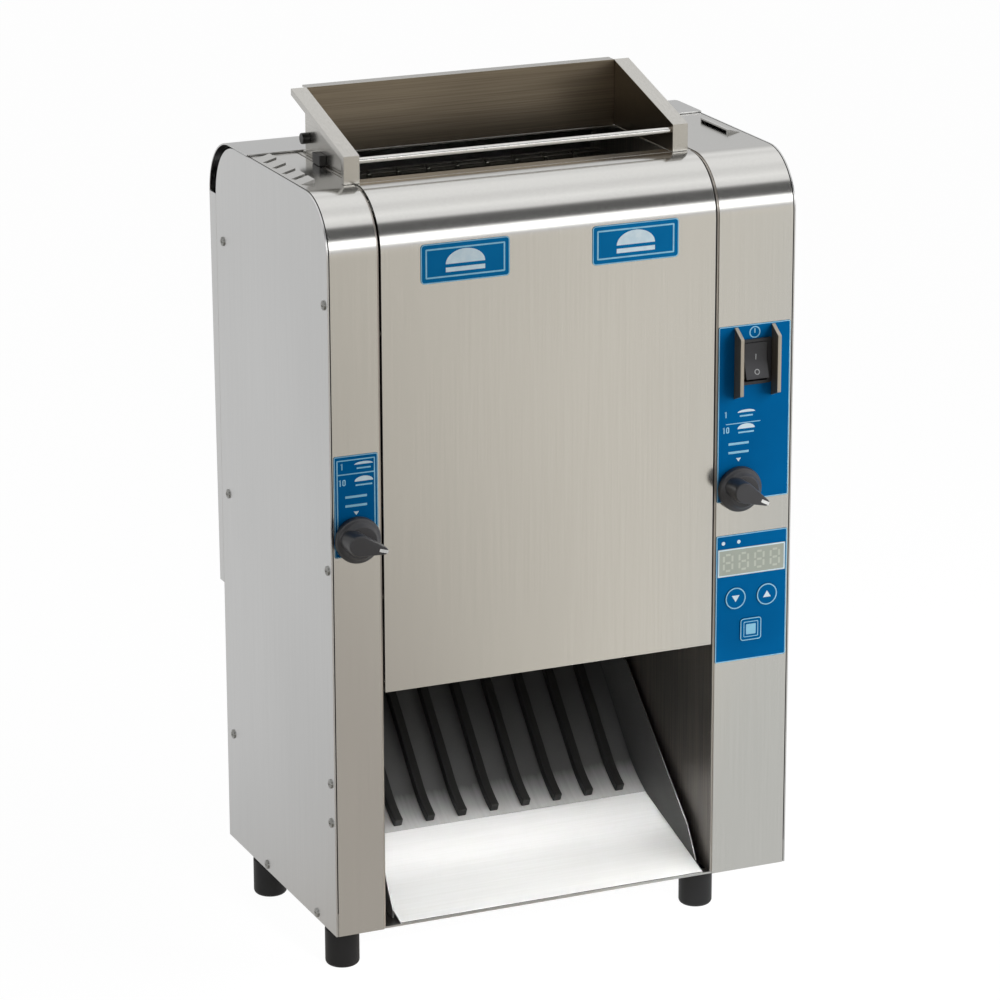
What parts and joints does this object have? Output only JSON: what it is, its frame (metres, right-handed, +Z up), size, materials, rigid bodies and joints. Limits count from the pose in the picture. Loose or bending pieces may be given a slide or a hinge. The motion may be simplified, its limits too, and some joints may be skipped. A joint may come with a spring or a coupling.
{
  "type": "vertical contact toaster",
  "caption": "Upright stainless bun toaster: an open hopper feeds bread halves between driven wire belts and a heated platen, and a curved slide brings them out at the front.",
  "frame": {"origin": "on the floor under the middle of the whole machine's box", "axes": "+Z up, +X to the right as seen from the front, the front faces -Y"},
  "size_m": [0.3786, 0.2692, 0.645],
  "materials": {
    "stainless_front": "brushed upright",
    "stainless_side": "brushed, satin",
    "stainless_hopper": "brushed",
    "stainless_guard": "brushed",
    "polished_tray": "polished",
    "coated_slide": "non-stick coating",
    "steel_screw": "zinc plated",
    "rubber_foot": "moulded",
    "black_plastic": "moulded, fine texture",
    "blue_print": "printed film",
    "display_lens": "tinted window",
    "circuit_board": "solder mask",
    "cast_platen": "ground",
    "heater_sheath": "heat tinted",
    "bronze_bush": "machined",
    "motor_paint": "satin",
    "belt_wire": "drawn wire",
    "frame_steel": "satin",
    "gear_steel": "machined"
  },
  "bodies": {
    "housing": {"base_pan": "stainless_front", "feet": "rubber_foot", "left_side_panel": "stainless_side", "right_side_panel": "stainless_side", "left_tower_shell": "stainless_front", "right_tower_shell": "stainless_front", "left_inner_wall": "stainless_side", "right_inner_wall": "stainless_side", "top_plate": "stainless_front", "tie_bars": "steel_screw", "rear_posts": "stainless_side", "rear_lower_panel": "stainless_side", "panel_screws": "steel_screw", "cord_gland": "black_plastic", "platen": "cast_platen", "heating_elements": "heater_sheath", "platen_spacers": "steel_screw", "shaft_bushes": "bronze_bush", "screw_bushes": "bronze_bush", "gear_motor": "motor_paint", "switch_body": "black_plastic", "switch_guards": "stainless_guard", "control_overlays": "blue_print", "display_window": "display_lens", "control_board": "circuit_board"},
    "front_cover": {"front_cover": "stainless_front", "crown_labels": "blue_print"},
    "rear_cover": {"rear_cover": "stainless_side"},
    "hopper": {"hopper_left_plate": "stainless_hopper", "hopper_right_plate": "stainless_hopper", "hopper_back_plate": "stainless_hopper", "hopper_rod": "stainless_hopper", "hopper_latches": "black_plastic"},
    "chute": {"slide_plate": "coated_slide", "slide_ribs": "coated_slide", "landing_tray": "polished_tray"},
    "front_conveyor": {"front_conveyor_frame": "frame_steel", "front_belt": "belt_wire"},
    "rear_conveyor": {"rear_conveyor_frame": "frame_steel", "rear_belt": "belt_wire"},
    "front_drive": {"front_drive_roller": "frame_steel", "front_drive_gear": "gear_steel"},
    "rear_drive": {"rear_drive_roller": "frame_steel", "rear_drive_gear": "gear_steel"},
    "front_return": {"front_return_roller": "frame_steel"},
    "rear_return": {"rear_return_roller": "frame_steel"},
    "front_idler": {"front_idler_gear": "gear_steel"},
    "rear_idler": {"rear_idler_gear": "gear_steel"},
    "pinion": {"motor_pinion": "gear_steel"},
    "left_dial": {"left_knob": "black_plastic", "left_adjust_screw": "steel_screw"},
    "right_dial": {"right_knob": "black_plastic", "right_adjust_screw": "steel_screw"},
    "left_nut": {"left_adjust_nut": "bronze_bush"},
    "right_nut": {"right_adjust_nut": "bronze_bush"},
    "rocker": {"switch_rocker": "black_plastic"},
    "up_key": {"up_key": "blue_print"},
    "down_key": {"down_key": "blue_print"},
    "program_key": {"program_key": "blue_print"}
  },
  "joints": [
    {"name": "front_cover_pull", "type": "slide", "parent": "housing", "child": "front_cover", "axis": [0, -1, 0], "range_m": [0, 0.2]},
    {"name": "rear_cover_lift", "type": "slide", "parent": "housing", "child": "rear_cover", "axis": [0, 0, 1], "range_m": [0, 0.4]},
    {"name": "hopper_lift", "type": "slide", "parent": "housing", "child": "hopper", "axis": [0, 0, 1], "range_m": [0, 0.12]},
    {"name": "chute_pull", "type": "slide", "parent": "housing", "child": "chute", "axis": [0, -1, 0], "range_m": [0, 0.22]},
    {"name": "left_dial_turn", "type": "hinge", "parent": "housing", "child": "left_dial", "pos_m": [-0.1675, -0.1096, 0.341], "axis": [0, 1, 0], "range_deg": [-90, 90]},
    {"name": "right_dial_turn", "type": "hinge", "parent": "housing", "child": "right_dial", "pos_m": [0.1425, -0.1096, 0.341], "axis": [0, 1, 0], "range_deg": [-90, 90]},
    {"name": "rear_conveyor_swing", "type": "hinge", "parent": "housing", "child": "rear_conveyor", "pos_m": [0, 0.0594, 0.551], "axis": [1, 0, 0], "range_deg": [-1.2, 1.2]},
    {"name": "front_conveyor_swing", "type": "hinge", "parent": "housing", "child": "front_conveyor", "pos_m": [0, -0.0726, 0.551], "axis": [1, 0, 0], "range_deg": [-1.2, 1.2]},
    {"name": "left_nut_slide", "type": "slide", "parent": "housing", "child": "left_nut", "axis": [0, 1, 0], "range_m": [-0.0049, 0.0049]},
    {"name": "right_nut_slide", "type": "slide", "parent": "housing", "child": "right_nut", "axis": [0, 1, 0], "range_m": [-0.0049, 0.0049]},
    {"name": "front_drive_spin", "type": "hinge", "parent": "housing", "child": "front_drive", "pos_m": [0, -0.0726, 0.551], "axis": [1, 0, 0], "continuous": true},
    {"name": "rear_drive_spin", "type": "hinge", "parent": "housing", "child": "rear_drive", "pos_m": [0, 0.0594, 0.551], "axis": [1, 0, 0], "continuous": true},
    {"name": "front_idler_spin", "type": "hinge", "parent": "housing", "child": "front_idler", "pos_m": [0.132, -0.0286, 0.551], "axis": [1, 0, 0], "continuous": true},
    {"name": "rear_idler_spin", "type": "hinge", "parent": "housing", "child": "rear_idler", "pos_m": [0.132, 0.0154, 0.551], "axis": [1, 0, 0], "continuous": true},
    {"name": "pinion_spin", "type": "hinge", "parent": "housing", "child": "pinion", "pos_m": [0.132, -0.0286, 0.515], "axis": [1, 0, 0], "continuous": true},
    {"name": "front_return_spin", "type": "hinge", "parent": "front_conveyor", "child": "front_return", "pos_m": [0, -0.0726, 0.273], "axis": [1, 0, 0], "continuous": true},
    {"name": "rear_return_spin", "type": "hinge", "parent": "rear_conveyor", "child": "rear_return", "pos_m": [0, 0.0594, 0.273], "axis": [1, 0, 0], "continuous": true},
    {"name": "rocker_tip", "type": "hinge", "parent": "housing", "child": "rocker", "pos_m": [0.15465, -0.1046, 0.439], "axis": [1, 0, 0], "range_deg": [0, 16]},
    {"name": "up_key_press", "type": "slide", "parent": "housing", "child": "up_key", "axis": [0, 1, 0], "range_m": [0, 0.0006], "stiffness_N_per_m": 600},
    {"name": "down_key_press", "type": "slide", "parent": "housing", "child": "down_key", "axis": [0, 1, 0], "range_m": [0, 0.0006], "stiffness_N_per_m": 600},
    {"name": "program_key_press", "type": "slide", "parent": "housing", "child": "program_key", "axis": [0, 1, 0], "range_m": [0, 0.0006], "stiffness_N_per_m": 600}
  ],
  "couplings": [
    {"joint": "left_dial_turn", "follows": "rear_conveyor_swing", "ratio": 75},
    {"joint": "left_nut_slide", "follows": "rear_conveyor_swing", "m_per_rad": 0.224},
    {"joint": "right_dial_turn", "follows": "front_conveyor_swing", "ratio": 75},
    {"joint": "right_nut_slide", "follows": "front_conveyor_swing", "m_per_rad": 0.224},
    {"joint": "rear_drive_spin", "follows": "front_drive_spin", "ratio": -1},
    {"joint": "front_idler_spin", "follows": "front_drive_spin", "ratio": -1},
    {"joint": "rear_idler_spin", "follows": "front_drive_spin", "ratio": 1},
    {"joint": "pinion_spin", "follows": "front_drive_spin", "ratio": 1.5714},
    {"joint": "front_return_spin", "follows": "front_drive_spin", "ratio": 1},
    {"joint": "rear_return_spin", "follows": "front_drive_spin", "ratio": -1}
  ]
}
